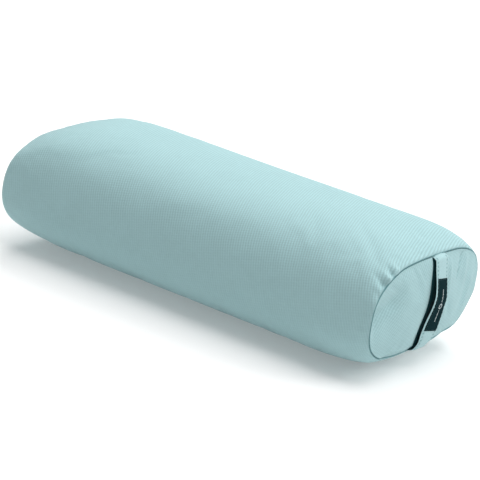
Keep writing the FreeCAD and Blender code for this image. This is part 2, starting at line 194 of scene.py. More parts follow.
# ---- materials
class Nodes:
    """A short way to write a material's node tree."""

    def __init__(self, name):
        self.material = bpy.data.materials.new(name)
        self.material.use_nodes = True
        self.tree = self.material.node_tree
        self.shader = self.tree.nodes["Principled BSDF"]

    def add(self, kind, inputs=(), **settings):
        node = self.tree.nodes.new(f"ShaderNode{kind}")
        configure(node, **settings)
        for key, value in dict(inputs).items():
            if isinstance(value, bpy.types.NodeSocket):
                self.tree.links.new(value, node.inputs[key])
            else:
                node.inputs[key].default_value = value
        return node

    def math(self, operation, a, b=0.0, c=0.0):
        return self.add("Math", {0: a, 1: b, 2: c}, operation=operation).outputs[0]

    def times(self, a, b, plus=None):
        """a times b, plus another value if one is given."""
        return self.math("MULTIPLY", a, b) if plus is None else self.math("MULTIPLY_ADD", a, b, plus)

    def vector(self, operation, inputs):
        return self.add("VectorMath", inputs, operation=operation).outputs[0]

    def noise(self, vector, scale, detail=3.0):
        inputs = {"Vector": vector, "Scale": scale, "Detail": detail, "Roughness": 0.55}
        return self.add("TexNoise", inputs).outputs["Fac"]

    def grain(self, scale, detail):
        return self.noise(self.add("TexCoord").outputs["Object"], scale, detail)

    def cloth(self):
        return self.add("Attribute", attribute_name="cloth").outputs["Vector"]

    def stretch(self, vector, factors):
        return self.add("Mapping", {"Vector": vector, "Scale": factors}).outputs["Vector"]

    def tint(self, colour, factor, darker, lighter):
        """The colour from darker to lighter times itself as factor goes from 0 to 1."""
        ramp = self.add("MapRange", {"Value": factor, "To Min": darker, "To Max": lighter})
        return self.vector("SCALE", {0: colour, "Scale": ramp.outputs[0]})

    def finish(self, colour, height=None, distance=0.0003, strength=1.0, **constants):
        if isinstance(colour, bpy.types.NodeSocket):
            self.tree.links.new(colour, self.shader.inputs["Base Color"])
        else:
            self.shader.inputs["Base Color"].default_value = (*colour, 1)
        if height is not None:
            bumps = self.add("Bump", {"Height": height, "Distance": distance, "Strength": strength})
            self.tree.links.new(bumps.outputs["Normal"], self.shader.inputs["Normal"])
        for key, value in constants.items():
            self.shader.inputs[key.replace("_", " ")].default_value = value
        return self.material


# directions of the weave's ribs, and their depths
BODY_SLANTS = ((0.955, -0.29, 0.34), (0.29, 0.955, 0.14))
END_SLANTS = ((0.707, -0.707, 0.34), (0.455, 0.891, 0.12))
SEAM_PAINTED_SHADE = (0.72, 0.55, 0.53)  # painted shade: the part of each colour taken away where shade falls, in seam grooves, in each needle hole and deep in the zip's fold


def canvas(name, colour, pitch=0.9 * MM, rib=3.6 * MM, slants=BODY_SLANTS, strength=1.0, fades=False):
    """Plain-weave canvas: threads, slanting ribs, thick and thin places and a faint mottle. The cloth
    vector's third value is painted shade: 1 where shade falls, in seam grooves, in each needle hole and
    deep in the zip's fold, and the colour is darkened there. With fades, the ribs are fainter where the
    cloth hangs upright."""
    n = Nodes(name)
    cloth = n.cloth()
    u, v, shade = n.add("SeparateXYZ", {0: cloth}).outputs
    warp, weft = [n.math("SINE", n.times(place, TURN / pitch)) for place in (u, v)]
    weave = n.times(n.times(warp, weft), 0.5, 0.5)
    drift = n.times(n.noise(cloth, 12.0), 9.0)
    ribs = 0.5
    for along_u, along_v, share in slants:
        place = n.times(u, along_u, n.times(v, along_v))
        wave = n.math("SINE", n.times(place, TURN / rib, drift))
        ribs = n.times(wave, share, ribs)
    threads = [n.noise(n.stretch(cloth, factors), 1.0) for factors in ((60, 900, 1), (900, 60, 1))]
    slubs = n.times(n.math("ADD", *threads), 0.5)
    mottle = n.noise(cloth, 22.0, detail=4.0)
    gathered = n.times(n.math("SUBTRACT", ribs, 0.5), strength)
    if fades:
        upright = n.add("SeparateXYZ", {0: n.add("NewGeometry").outputs["Normal"]}).outputs[2]
        limits = {"From Min": 0.1, "From Max": 0.75, "To Min": 0.3, "To Max": 1.0}
        gathered = n.times(gathered, n.add("MapRange", {"Value": upright, **limits}).outputs[0])
    tone = n.times(slubs, 0.62, n.times(mottle, 0.12, 0.09))
    tone = n.math("ADD", tone, gathered)
    tone = n.times(weave, 0.08, tone)
    base = n.tint(colour, tone, 0.74, 1.26)
    # painted shade: the colour is darkened where shade falls, in seam grooves, in each needle hole and deep
    # in the zip's fold
    taken = n.vector("SCALE", {0: SEAM_PAINTED_SHADE, "Scale": shade})
    left = n.vector("SUBTRACT", {0: (1, 1, 1), 1: taken})
    base = n.vector("MULTIPLY", {0: base, 1: left})
    height = n.times(weave, 0.4, n.times(ribs, 0.5, slubs))
    return n.finish(
        base, height, distance=0.35 * MM, strength=0.55,
        Roughness=0.9, Specular_IOR_Level=0.18, Sheen_Weight=0.12, Sheen_Roughness=0.5,
    )


def label_weave(name, colour, contrast=0.45):
    """Dense satin-woven cloth: fine ribs across it. It has no sheen, so a dark one stays dark."""
    n = Nodes(name)
    cloth = n.cloth()
    across = n.add("SeparateXYZ", {0: cloth}).outputs[1]
    rib = n.math("SINE", n.times(across, TURN / (0.55 * MM)))
    fuzz = n.noise(n.stretch(cloth, (1500, 500, 1)), 1.0)
    height = n.times(rib, 0.3, fuzz)
    return n.finish(
        n.tint(colour, fuzz, 1 - contrast, 1 + contrast), height, distance=0.15 * MM, strength=0.6,
        Roughness=0.95, Specular_IOR_Level=0.06,
    )


def hard(name, colour, roughness):
    n = Nodes(name)
    wear = n.grain(400.0, 5.0)
    rough = n.add("MapRange", {"Value": wear, "To Min": roughness - 0.06, "To Max": roughness + 0.08})
    n.tree.links.new(rough.outputs[0], n.shader.inputs["Roughness"])
    return n.finish(n.tint(colour, wear, 0.93, 1.05), wear, distance=0.02 * MM)


def grainy(name, colour, scale, darker, lighter, detail=3.0, depth=0.3 * MM, strength=1.0, **constants):
    """A plain finish whose colour and height follow one fine grain."""
    n = Nodes(name)
    grain = n.grain(scale, detail)
    height = grain if depth else None
    return n.finish(n.tint(colour, grain, darker, lighter), height, depth, strength, **constants)


def thread(name, colour):
    shine = {"Roughness": 0.6, "Specular_IOR_Level": 0.4, "Sheen_Weight": 0.2}
    return grainy(name, colour, 900.0, 0.85, 1.15, depth=0.1 * MM, strength=0.5, **shine)


def soft_core(name, colour, scale, depth):
    return grainy(name, colour, scale, 0.85, 1.1, detail=6.0, depth=depth, Roughness=0.95)


AQUA = (0.342, 0.530, 0.549)
COVER = canvas("canvas_cover", AQUA, strength=0.62, fades=True)
END_COVER = canvas("canvas_end", AQUA, rib=4.0 * MM, slants=END_SLANTS, strength=0.42)
# painted light: the strap's canvas is the cover's aqua made lighter, standing in for the light that falls on
# the strap
STRAP_CANVAS_PAINTED_LIGHT = canvas("canvas_strap_painted_light", (0.385, 0.575, 0.594), pitch=1.0 * MM, strength=0.2)
THREAD = thread("aqua_thread", (0.40, 0.57, 0.59))
LABEL = label_weave("teal_label", (0.0035, 0.021, 0.025))
LABEL_EDGE = thread("label_edge_thread", (0.020, 0.060, 0.066))
MOTIF = thread("pale_label_thread", (0.66, 0.76, 0.77))
TAPE = label_weave("zip_tape_cloth", (0.34, 0.50, 0.52))
COIL = hard("nylon_coil", (0.36, 0.52, 0.54), 0.38)
METAL = hard("painted_zip_metal", (0.38, 0.54, 0.56), 0.32)
LINER = soft_core("liner_cloth", (0.84, 0.84, 0.82), 900.0, 0.1 * MM)
BATTING = soft_core("polyester_batting", (0.88, 0.88, 0.86), 120.0, 0.8 * MM)
FOAM = soft_core("open_cell_foam", (0.82, 0.77, 0.60), 700.0, 0.4 * MM)
FLOOR = grainy(
    "floor", (0.78, 0.78, 0.78), 60.0, 0.995, 1.005, depth=0.0,
    Roughness=0.95, Specular_IOR_Level=0.0, Emission_Color=(1, 1, 1, 1), Emission_Strength=0.2,
)


# ---- the pillow's surface
def outline(width, height, power, shares):
    """Points at given shares of a superellipse's length, from the +Y side up, and that length."""
    angle = np.linspace(0, TURN, 1441)
    y, z = [
        np.sign(part) * np.abs(part) ** (2 / power) * size / 2
        for part, size in ((np.cos(angle), width), (np.sin(angle), height))
    ]
    run = running_length(y, z)
    wanted = np.mod(shares, 1.0) * run[-1]
    return np.interp(wanted, run, y), np.interp(wanted, run, z), run[-1]


def seam_outline(shares):
    """Points of the end seams' outline at given shares of its length, from the seam's middle."""
    return outline(SEAM_WIDTH, SEAM_HEIGHT, SEAM_SQUARENESS, shares)[:2]


def seam_shift(side, y, z):
    """How far an end stands out at a point: both ends lean, and the handle end also turns."""
    if side > 0:
        return SEAM_TURN * y + SEAM_LEAN * (z - SEAM_Z)
    return -FAR_LEAN * np.maximum(z - SEAM_Z, 0)


def seam_pull(side, y, z):
    """How far the seam is drawn in: at the bottom, and at one upper corner."""
    below = smooth((SEAM_Z - 34 * MM - z) / (26 * MM))
    pull = SEAM_TUCK * below * smooth((112 * MM - np.abs(y)) / (30 * MM))
    if side > 0:
        above = smooth((z - SEAM_Z - 40 * MM) / (20 * MM))
        pull += SEAM_DIP * bump(y + 82 * MM, 24 * MM) * above
        pull -= 1.6 * MM * bump(y - 30 * MM, 42 * MM) * above
        pull += 3.0 * MM * smooth((y - 70 * MM) / (50 * MM)) * smooth((SEAM_Z - 5 * MM - z) / (30 * MM))
    return pull


def tube_points(stations, shares):
    """The body panel: a row of points per station, from -1 at the plain seam to 1 at the handle seam."""
    seam_y, seam_z = seam_outline(shares)
    rows = []
    for station in stations:
        away = (1 - abs(station)) * SEAM_X
        t = min(away / TAPER, 1.0)
        full = math.sqrt(max(0.0, 1 - (1 - t) ** 2))
        width = SEAM_WIDTH + (WIDTH - SEAM_WIDTH) * full
        height = SEAM_HEIGHT + (HEIGHT + CRUSH - SEAM_HEIGHT) * full
        centre = SEAM_Z + ((HEIGHT - CRUSH) / 2 - SEAM_Z) * full
        power = SEAM_SQUARENESS + (BODY_SQUARENESS - SEAM_SQUARENESS) * t
        y, z, _ = outline(width, height, power, shares)
        y = y * (1 - BELLY_TUCK * full * np.clip(-2 * z / height, 0, 1) ** 5)
        z = z + centre
        x = np.full_like(y, station * SEAM_X)
        side = 1 if station > 0 else -1
        x -= side * seam_pull(side, seam_y, seam_z + SEAM_Z) * (1 - smooth(away / (45 * MM)))
        x += side * seam_shift(side, seam_y, seam_z + SEAM_Z) * (1 - smooth(away / (90 * MM)))
        rows.append(np.stack([x, y, z], 1))
    return np.array(rows)


def end_face(side, y, z):
    """How far out along X an end panel lies at a point across it, folds and all."""
    power = SEAM_SQUARENESS
    reach = np.abs(2 * y / SEAM_WIDTH) ** power + np.abs(2 * (z - SEAM_Z) / SEAM_HEIGHT) ** power
    reach = np.maximum(reach ** (1 / power), 1e-6)
    pull = seam_pull(side, y / reach, SEAM_Z + (z - SEAM_Z) / reach)
    x = SEAM_X + DOME * (1 - np.minimum(reach, 1) ** 2) - pull * smooth((reach - 0.86) / 0.14)
    x = x + seam_shift(side, y, z)
    if side > 0:
        edge = (1 - reach) * SEAM_HEIGHT / 2
        x = x - end_folds(y, z) * smooth(edge / (7 * MM))
    return x


def soft_floor(z, softness):
    return softness * np.logaddexp(0, z / softness)


def rest_on_floor(points):
    """Presses the underside flat, with a rise toward both ends."""
    x, z = np.abs(points[..., 0]), points[..., 2]
    rise = CHAMFER_HEIGHT - CHAMFER_SLOPE * (CHAMFER_X - x)
    z = rise + soft_floor(z - rise, 2.5 * MM)
    points[..., 2] = soft_floor(z, 1.6 * MM)
    return points


def share_at(y, z):
    """The share of the seam's outline nearest to a point of the end."""
    shares = np.linspace(0, 1, 721)
    seam_y, seam_z = seam_outline(shares)
    return float(shares[np.argmin(np.hypot(seam_y - y, seam_z + SEAM_Z - z))])


def wrinkle_list(count, amplitude, width, length, seed):
    """Small gathers spread round a seam: place (share), depth, width, length and slant."""
    draw = np.random.default_rng(seed)
    return [
        (
            draw.uniform(0, 1), amplitude * draw.uniform(0.35, 1.0) * draw.choice([1, 1, -0.7]),
            width * draw.uniform(0.6, 1.5), length * draw.uniform(0.5, 1.5), draw.uniform(-0.5, 0.5),
        )
        for _ in range(count)
    ]


# The big gathers at the handle seam's upper corner: y, z, depth, width and length in mm, and slant.
CORNER_PUCKERS = (
    (-125, 139, 5.6, 5.0, 13, -0.45), (-117, 147, -3.6, 4.5, 11, -0.55), (-107, 154, 4.6, 2.6, 9, -0.60),
    (-97, 156, -2.8, 6.0, 11, -0.50), (-134, 126, 1.6, 5.0, 15, -0.35), (-140, 116, -1.2, 5.0, 15, -0.20),
    (-145, 106, 1.5, 4.0, 13, -0.10), (-147, 90, 0.8, 5.0, 16, 0.0),
)
PUCKERS = {
    1: wrinkle_list(44, 0.55 * MM, 5 * MM, 22 * MM, 11) + [
        (share_at(y * MM, z * MM), depth * MM, width * MM, length * MM, slant)
        for y, z, depth, width, length, slant in CORNER_PUCKERS
    ],
    -1: wrinkle_list(52, 0.8 * MM, 5 * MM, 24 * MM, 12),
}


def pucker_depth(side, away, shares):
    """Depth of the gathers at a distance from the seam, for points at shares of the outline."""
    depth = np.zeros(np.broadcast(away, shares).shape)
    for place, amount, width, length, slant in PUCKERS[side]:
        offset = shortest_way(shares - place)
        depth += amount * bump(offset * PERIMETER - slant * away, width) * np.exp(-(away / length) ** 1.6)
    return depth * (1 - np.exp(-away / (1.6 * MM)))


# ---- cover mesh
PERIMETER = outline(WIDTH, HEIGHT, BODY_SQUARENESS, np.zeros(1))[2]
ZIP_SHARE = (ZIP_Z - (HEIGHT - CRUSH) / 2) / PERIMETER
PAINTED_SHADE_WIDTH = 0.4 * MM  # of the painted shade line in each seam's groove


def normals_of(rows):
    """Outward normals of a grid of points that closes round its columns."""
    return unit(np.cross(np.roll(rows, -1, axis=1) - np.roll(rows, 1, axis=1), np.gradient(rows, axis=0)))


def body_grid():
    """Stations and shares of the fine body mesh: denser near the seams, with lines on the slot's edges."""
    edge = SLOT / PERIMETER
    fold = np.array([0.0, 0.9, 2.4, 5.0]) * MM / PERIMETER
    zip_lines = np.concatenate([edge + fold, -(edge + fold)])
    rest = np.linspace(edge + fold[-1], 1 - edge - fold[-1], 380)[1:-1]
    shares = np.unique(np.mod(np.concatenate([zip_lines, rest]) + ZIP_SHARE, 1.0))
    slot_edge = ZIP_HALF / SEAM_X
    marks = [1 - 0.4 * MM / SEAM_X, slot_edge - 0.002, slot_edge, slot_edge + 0.002]
    half = np.append(1 - (1 - np.linspace(0, 1, 100)) ** 1.6, marks)
    return np.unique(np.append(-half, half)), shares


def shaped_tube(stations, shares):
    rows = tube_points(stations, shares)
    normals = normals_of(rows)
    away = ((1 - np.abs(stations)) * SEAM_X)[:, None]
    handle_end = stations[:, None] > 0
    depth = np.where(handle_end, pucker_depth(1, away, shares), pucker_depth(-1, away, shares))
    swell = 0.8 * MM * np.sin(away * 38 + 9 * shares * TURN) * np.exp(-away / 0.05)
    shoulder = 2.6 * MM * bump(away - 45 * MM, 40 * MM) * bump(shares - 0.17, 0.07) * handle_end
    grow = 1 - np.exp(-away / (2 * MM))
    rows += normals * ((swell + shoulder) * grow - depth)[..., None]
    rows[..., 0] += 0.8 * np.maximum(-depth, 0) * handle_end
    rows -= normals * (GROOVE * bump(away, 1.3 * MM))[..., None]
    return rows


# Folds of the handle end: y, depth and width in mm, lean, lowest and highest z in mm; some stand out.
END_FOLDS = (
    (74, 2.8, 3.0, -0.45, 108, 152), (42, -1.8, 5.0, -0.12, 88, 146), (53, 1.8, 6.5, 0.35, 56, 98),
    (93, -1.8, 6.5, -0.12, 100, 150), (114, -1.6, 4.5, -0.32, 58, 112), (100, 1.0, 7.0, -0.30, 60, 120),
)


def end_folds(y, z):
    """The handle end's folds, its hollow and swell at the strap's ends, and its upper corner's valley."""
    depth = np.zeros_like(y)
    for across, amount, width, lean, low, high in END_FOLDS:
        middle = across * MM + lean * (0.5 * (low + high) * MM - z)
        window = smooth((z - low * MM) / (14 * MM)) * smooth((high * MM - z) / (14 * MM))
        depth += amount * MM * bump(y - middle, width * MM) * window
    strap_y = STRAP_MIDDLE + STRAP_TURN * (STRAP_BEND_Z - z)
    depth += 4.6 * MM * bump(y - strap_y + 6 * MM, 34 * MM) * bump(z - 56 * MM, 30 * MM)
    depth -= 1.6 * MM * bump(y - strap_y, 45 * MM) * bump(z - 146 * MM, 16 * MM)
    along = 0.92 * (y + 110 * MM) + 0.38 * (z - 112 * MM)
    above = 0.92 * (z - 112 * MM) - 0.38 * (y + 110 * MM)
    depth += 8.0 * MM * bump(above + 5 * MM, 15 * MM) * smooth((48 * MM - along) / (45 * MM))
    return depth


def shaped_disc(side, rings, shares):
    """An end panel: rings from 1 at the seam to 0 at its middle. side is 1 at the handle end, else -1."""
    y0, z0 = seam_outline(shares)
    y, z = np.outer(rings, y0), np.outer(rings, z0) + SEAM_Z
    rows = np.stack([side * end_face(side, y, z), y, z], 2)
    edge = (1 - np.array(rings))[:, None] * SEAM_HEIGHT / 2
    inward = np.zeros(rows.shape[:2])
    draw = np.random.default_rng(21 + side)
    for _ in range(40):
        place, amount, width, length = draw.uniform(size=4)
        offset = shortest_way(shares - place)
        size = (0.3 + 0.7 * amount) * 0.7 * MM
        fading = np.exp(-edge / ((8 + 14 * length) * MM))
        inward += size * bump(offset * PERIMETER, (4 + 5 * width) * MM) * fading
    inward *= smooth(edge / (7 * MM))
    rows[..., 0] -= side * inward
    spoke = unit((rows - (0, 0, SEAM_Z)) * (0, 1, 1))
    rows -= spoke * (GROOVE * bump(edge, 1.0 * MM))[..., None]
    return rows


# ---- cloth simulation of the cover
SIM_COLUMNS, SIM_ROWS, SIM_RINGS = 128, 92, 13
SIM_FRAMES = 20
SIM_SETTINGS = {
    "quality": 6, "mass": 0.25, "tension_stiffness": 20, "compression_stiffness": 20, "shear_stiffness": 8,
    "bending_stiffness": 0.4, "use_pressure": True, "uniform_pressure_force": 4, "vertex_group_mass": "pins",
    "shrink_min": -0.03,  # the cloth is cut this much larger than the form it is sewn to
}
SIM_CAP = {"tube": 1.1 * MM, "handle_end_panel": 2.5 * MM, "plain_end_panel": 2.5 * MM}  # deepest wrinkles
SIM_BLUR = 60  # rounds of smoothing that tell the general swelling from the wrinkles
SHIFTS = {}  # the wrinkles kept, for the tube and each end panel


def blurred(grid, times):
    """A grid of vectors smoothed along its rows, and round its columns."""
    for _ in range(times):
        padded = np.concatenate([grid[:1], grid, grid[-1:]])
        grid = (padded[:-2] + 2 * padded[1:-1] + padded[2:]) / 4
        grid = (np.roll(grid, 1, 1) + 2 * grid + np.roll(grid, -1, 1)) / 4
    return grid


def simulate_cover():
    """Inflates a coarse closed copy of the cover, cut with some ease and held at its seams, and keeps the
    wrinkles that it forms: how far its points move, less the general swelling."""
    shares = np.arange(SIM_COLUMNS) / SIM_COLUMNS
    stations = np.linspace(-1, 1, SIM_ROWS)
    rings = np.linspace(1, 0, SIM_RINGS + 1)[:-1]
    tube = rest_on_floor(shaped_tube(stations, shares))
    points = [tube.reshape(-1, 3)]
    faces = grid_faces(SIM_ROWS, SIM_COLUMNS, closed=True)
    discs = {}
    for side, node, seam in ((-1, "plain_end_panel", 0), (1, "handle_end_panel", SIM_ROWS - 1)):
        disc = rest_on_floor(shaped_disc(side, rings[1:], shares))
        middle = disc[-1].mean(axis=0, keepdims=True)
        start = sum(len(p) for p in points)
        points += [disc.reshape(-1, 3), middle]
        discs[node] = (start, disc)
        ring_starts = [seam * SIM_COLUMNS] + [start + i * SIM_COLUMNS for i in range(SIM_RINGS - 1)]
        for j in range(SIM_COLUMNS):
            k = (j + 1) % SIM_COLUMNS
            for a, b in zip(ring_starts, ring_starts[1:]):
                quad = (a + j, a + k, b + k, b + j)
                faces.append(quad[::-1] if side < 0 else quad)
            tri = (ring_starts[-1] + j, ring_starts[-1] + k, start + len(disc) * SIM_COLUMNS)
            faces.append(tri[::-1] if side < 0 else tri)
    points = np.concatenate(points)
    obj = new_object("cover_for_simulation", points, faces)
    pins = obj.vertex_groups.new(name="pins")
    last_row = (SIM_ROWS - 1) * SIM_COLUMNS
    for held in (range(SIM_COLUMNS), range(last_row, last_row + SIM_COLUMNS)):
        pins.add(list(held), 1.0, "REPLACE")
    pins.add([int(i) for i in np.nonzero(points[:, 2] < 1.5 * MM)[0]], 1.0, "REPLACE")
    cloth = obj.modifiers.new("cloth", "CLOTH")
    configure(cloth.settings, **SIM_SETTINGS)
    cloth.settings.effector_weights.gravity = 0
    cloth.point_cache.frame_start, cloth.point_cache.frame_end = 1, SIM_FRAMES
    scene = bpy.context.scene
    for number in range(1, SIM_FRAMES + 1):
        scene.frame_set(number)
    settled = obj.evaluated_get(bpy.context.evaluated_depsgraph_get()).data
    moved = np.empty(len(points) * 3, np.float32)
    settled.vertices.foreach_get("co", moved)
    moved = moved.reshape(-1, 3) - points
    print("simulated cover moves up to", float(np.abs(moved).max()), "m")
    scene.frame_set(1)
    bpy.data.objects.remove(obj)

    def wrinkles(grid, cap):
        grid = grid - blurred(grid, SIM_BLUR)
        size = np.maximum(np.linalg.norm(grid, axis=2, keepdims=True), 1e-9)
        return grid * cap * np.tanh(size / (2 * cap)) / size

    SHIFTS["tube"] = wrinkles(moved[:tube.size // 3].reshape(tube.shape), SIM_CAP["tube"])
    for node, (start, disc) in discs.items():
        grid = moved[start:start + disc.size // 3].reshape(disc.shape)
        SHIFTS[node] = wrinkles(np.concatenate([np.zeros((1, SIM_COLUMNS, 3)), grid]), SIM_CAP[node])


def spline_sample(grid, position, wrap):
    """Cubic B-spline samples of a grid along its first axis."""
    whole = np.floor(position).astype(int)
    f = (position - whole).reshape((-1,) + (1,) * (grid.ndim - 1))

    def at(index):
        return grid[np.mod(index, len(grid)) if wrap else np.clip(index, 0, len(grid) - 1)]

    return (
        at(whole - 1) * (1 - f) ** 3 + at(whole) * (3 * f ** 3 - 6 * f ** 2 + 4)
        + at(whole + 1) * (1 + 3 * f + 3 * f ** 2 - 3 * f ** 3) + at(whole + 2) * f ** 3
    ) / 6


def cloth_shift(name, places, shares):
    """The wrinkles at a fine grid's points: places are the tube's stations or an end panel's rings."""
    if name not in SHIFTS:
        return 0.0
    places = np.asarray(places)
    if name == "tube":
        row = (places + 1) / 2 * (SIM_ROWS - 1)
        away = (1 - np.abs(places)) * SEAM_X
    else:
        row = (1 - places) * SIM_RINGS
        away = (1 - places) * SEAM_HEIGHT / 2
    shift = spline_sample(SHIFTS[name], row, False)
    shift = spline_sample(shift.transpose(1, 0, 2), shares * SIM_COLUMNS, True).transpose(1, 0, 2)
    shift = shift * smooth(away / (6 * MM))[:, None, None]
    if name == "tube":
        off_zip = np.abs(shortest_way(shares - ZIP_SHARE)) * PERIMETER
        shift = shift * smooth((off_zip - 12 * MM) / (25 * MM))[None, :, None]
    if name == "handle_end_panel":
        off_strap = np.abs(np.outer(places, seam_outline(shares)[0]) - STRAP_MIDDLE)
        shift = shift * smooth((off_strap - 22 * MM) / (14 * MM))[..., None]
    return shift


def on_cover(x, share):
    """Points of the finished body panel at a distance along X and a share of its outline."""
    x, share = np.broadcast_arrays(x, share)
    stations, shares, rows = COVER_GRID
    wanted = np.mod(share, 1.0)
    closed = np.concatenate([rows, rows[:, :1]], axis=1)
    limits = np.append(shares, shares[0] + 1)
    wanted = np.where(wanted < shares[0], wanted + 1, wanted)
    i = np.clip(np.searchsorted(stations, x / SEAM_X) - 1, 0, len(stations) - 2)
    j = np.clip(np.searchsorted(limits, wanted) - 1, 0, len(shares) - 1)
    u = ((x / SEAM_X - stations[i]) / (stations[i + 1] - stations[i]))[..., None]
    v = ((wanted - limits[j]) / (limits[j + 1] - limits[j]))[..., None]
    top = closed[i, j] * (1 - v) + closed[i, j + 1] * v
    low = closed[i + 1, j] * (1 - v) + closed[i + 1, j + 1] * v
    return top * (1 - u) + low * u


def finished_tube(stations, shares):
    return rest_on_floor(shaped_tube(stations, shares) + cloth_shift("tube", stations, shares))


def build_body_panel():
    """Builds it, and returns its stations, shares and rows of points for what lies on it."""
    stations, shares = body_grid()
    count = len(shares)
    rows = finished_tube(stations, shares)
    beside_zip = np.abs(stations) * SEAM_X < ZIP_HALF + 1e-6

    def in_slot(i, j):
        gap = abs(shortest_way(shares[(j + 1) % count] - shares[j])) * PERIMETER
        return abs(gap - 2 * SLOT) < 1 * MM and beside_zip[i] and beside_zip[i + 1]

    body = sheet("cover_body_panel", rows, COVER_CLOTH, COVER, "cover_fabric", closed=True, skip=in_slot)
    # painted shade along the seam's groove at both ends
    shade = bump((1 - np.abs(stations)) * SEAM_X, PAINTED_SHADE_WIDTH)
    store(body, stations[:, None] * SEAM_X, shares * PERIMETER, shade[:, None])
    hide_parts("body_panel")
    return stations, shares, rows


def build_end_panel(side, node, shares):
    count = len(shares)
    near_seam = 1 - np.array([0, 0.6, 1.3, 2.2, 3.4, 5.0, 7.0]) * MM / (SEAM_HEIGHT / 2)
    rings = np.concatenate([near_seam, np.linspace(0.87, 0.0, 44)])
    rows = rest_on_floor(shaped_disc(side, rings, shares) + cloth_shift(node, rings, shares))
    points = np.concatenate([rows[:-1].reshape(-1, 3), rows[-1].mean(axis=0)[None]])
    faces = grid_faces(len(rings) - 1, count, closed=True, flip=side < 0)
    last = (len(rings) - 2) * count
    for j in range(count):
        triangle = (last + j, last + (j + 1) % count, len(points) - 1)
        faces.append(triangle[::-1] if side < 0 else triangle)
    panel = new_object(f"cover_{node}", points, faces, END_COVER, "pillow", "cover_fabric")
    # painted shade along the seam's groove at the panel's edge
    shade = np.append(np.repeat(bump((1 - rings[:-1]) * SEAM_HEIGHT / 2, PAINTED_SHADE_WIDTH), count), 0.0)
    store(panel, points[:, 1], points[:, 2], shade)
    thicken(panel, COVER_CLOTH)
    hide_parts(node)


# ---- carry strap
STRAP_WIDTH = grip_high.y - grip_low.y
STRAP_MIDDLE = (grip_high.y + grip_low.y) / 2
TOP_ROOT_Z, BOTTOM_ROOT_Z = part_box("handle_top_root")[1].z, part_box("handle_bottom_root")[0].z
STRAP_THICKNESS = 1.5 * MM
STRAP_APEX = grip_high.x - 0.7 * MM  # where the two slopes would meet
STRAP_BEND_Z = 102.5 * MM
STRAP_BEND_ROUND = 6 * MM
STRAP_UP, STRAP_DOWN = 0.25, 0.15  # slopes above and below the bend
STRAP_SKEW = 0.2  # the bend runs askew: lower at the strap's right edge
STRAP_TWIST = 0.15  # below the bend the right edge stands further out
STRAP_TURN = -0.055  # the strap leans a little: its top is further toward the zip side


def strap_line(z):
    """X of the strap's inner face at a height: two slopes that meet in a rounded bend, and a curve in
    toward the bottom seam."""
    away = z - STRAP_BEND_Z
    mean, tilt = (STRAP_UP + STRAP_DOWN) / 2, (STRAP_UP - STRAP_DOWN) / 2
    x = STRAP_APEX - mean * np.sqrt(away ** 2 + STRAP_BEND_ROUND ** 2) - tilt * away
    return x - 9 * MM * smooth((45 * MM - z) / (30 * MM))


def strap_route(count):
    """Evenly spaced points from the top seam to the bottom seam, with both ends sewn in."""
    z = np.linspace(TOP_ROOT_Z, BOTTOM_ROOT_Z, 400)
    x = strap_line(z)
    top_x, bottom_x = SEAM_X + 1.5 * MM, SEAM_X - SEAM_TUCK + 1.0 * MM
    seam_top, seam_bottom = SEAM_Z + SEAM_HEIGHT / 2, SEAM_Z - SEAM_HEIGHT / 2
    x = np.concatenate([[top_x - 7 * MM, top_x - 1 * MM], x, [bottom_x, bottom_x - 5 * MM]])
    above, below = [seam_top - 1 * MM, seam_top - 0.4 * MM], [seam_bottom - 0.2 * MM, seam_bottom + 0.6 * MM]
    z = np.concatenate([above, z, below])
    run = running_length(x, z)
    even = np.linspace(0, run[-1], count)
    x, z = np.interp(even, run, x), np.interp(even, run, z)
    for line in (x, z) * 40:  # rounds off the corners
        line[1:-1] = (line[:-2] + 2 * line[1:-1] + line[2:]) / 4
    return x, z, running_length(x, z)


ROUTE_X, ROUTE_Z, ROUTE_RUN = strap_route(600)
ROUTE_OUT = unit(np.stack([-np.gradient(ROUTE_Z), np.gradient(ROUTE_X)], 1))  # away from the pillow


def run_at(z):
    """The length along the strap at a height."""
    return float(np.interp(-z, -ROUTE_Z[3:-3], ROUTE_RUN[3:-3]))


def on_strap(run, across, lift):
    """Points at a length along the strap, a distance across it and a height off its inner face."""
    run, across, lift = np.broadcast_arrays(run, across, lift)
    z = np.interp(run, ROUTE_RUN, ROUTE_Z)
    ox, oz = np.interp(run, ROUTE_RUN, ROUTE_OUT[:, 0]), np.interp(run, ROUTE_RUN, ROUTE_OUT[:, 1])
    near = smooth((z - 35 * MM) / (25 * MM)) * smooth((140 * MM - z) / (20 * MM))
    x = np.interp(run - STRAP_SKEW * across * near, ROUTE_RUN, ROUTE_X)
    free = smooth((STRAP_BEND_Z - 8 * MM - z) / (30 * MM)) * smooth((z - 32 * MM) / (20 * MM))
    x = x + STRAP_TWIST * across * free
    share = across / STRAP_WIDTH
    ripple = 0.5 * MM * np.sin(run * 95 + 1.3) * share - 0.7 * MM * (2 * share) ** 2
    y = STRAP_MIDDLE + across + STRAP_TURN * (STRAP_BEND_Z - z)
    return np.stack([x + ox * (lift + ripple), y, z + oz * (lift + ripple)], -1)


simulate_cover()
COVER_GRID = build_body_panel()  # its stations, shares and rows of points
build_end_panel(1, "handle_end_panel", COVER_GRID[1])
build_end_panel(-1, "plain_end_panel", COVER_GRID[1])

STITCH_PITCH = 5.2 * MM
STITCH_LENGTH = 3.5 * MM
STITCH_ROWS = (-STRAP_WIDTH / 2 + 3.6 * MM, STRAP_WIDTH / 2 - 4.8 * MM)
TOP_RUN, BOTTOM_RUN = run_at(TOP_ROOT_Z), run_at(BOTTOM_ROOT_Z)
MIDDLE_RUN = run_at((label_low.z + label_high.z) / 2)
LABEL_TOP, LABEL_BOTTOM = run_at(label_high.z), run_at(label_low.z)


